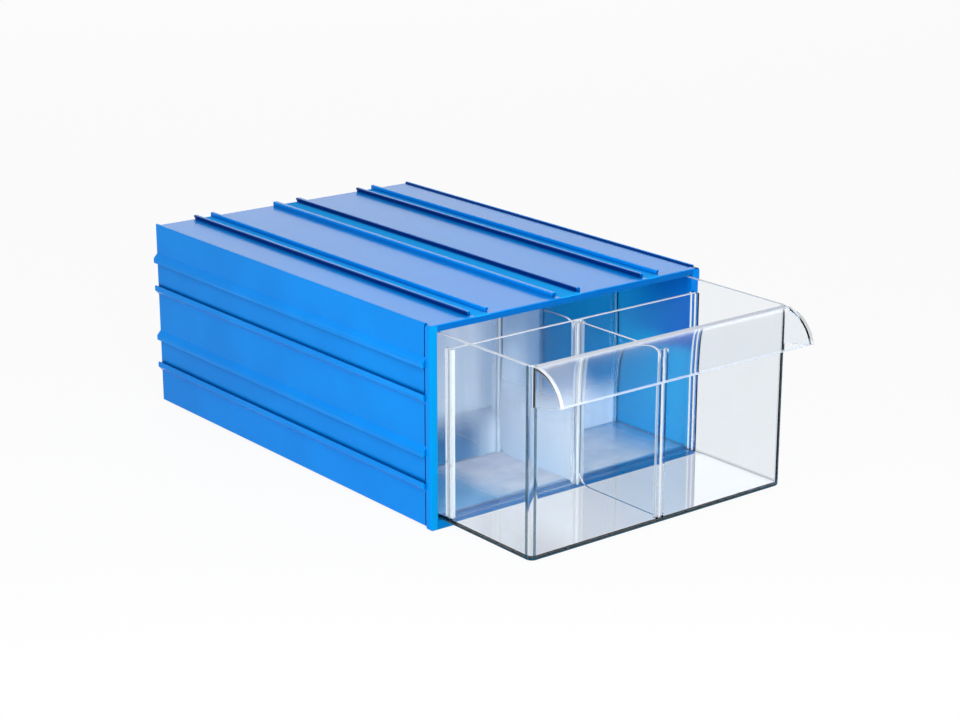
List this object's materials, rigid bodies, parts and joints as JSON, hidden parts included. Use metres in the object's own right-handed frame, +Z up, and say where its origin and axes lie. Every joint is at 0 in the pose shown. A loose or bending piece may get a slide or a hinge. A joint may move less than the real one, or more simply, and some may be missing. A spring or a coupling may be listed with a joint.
{
  "type": "plastic drawer box",
  "caption": "Stackable parts box: a moulded casing with sliding rails on its outside and a clear drawer with a rolled pull and loose divider plates.",
  "frame": {"origin": "middle of the casing's base, in the plane that it stands on", "axes": "+X to the right as seen from the front, +Y towards the back, +Z up"},
  "size_m": [0.1796, 0.3431, 0.1061],
  "materials": {
    "casing_plastic": "glossy",
    "drawer_plastic": "clear, polished",
    "divider_plastic": "clear, polished"
  },
  "bodies": {
    "casing": {"casing": "casing_plastic"},
    "drawer": {"drawer": "drawer_plastic", "cross_divider_1": "divider_plastic", "cross_divider_2": "divider_plastic", "cross_divider_3": "divider_plastic", "centre_divider_1": "divider_plastic", "centre_divider_2": "divider_plastic", "centre_divider_3": "divider_plastic", "centre_divider_4": "divider_plastic"}
  },
  "joints": [
    {"name": "drawer_slide", "type": "slide", "parent": "casing", "child": "drawer", "axis": [0, -1, 0], "range_m": [-0.069, 0.111]}
  ]
}
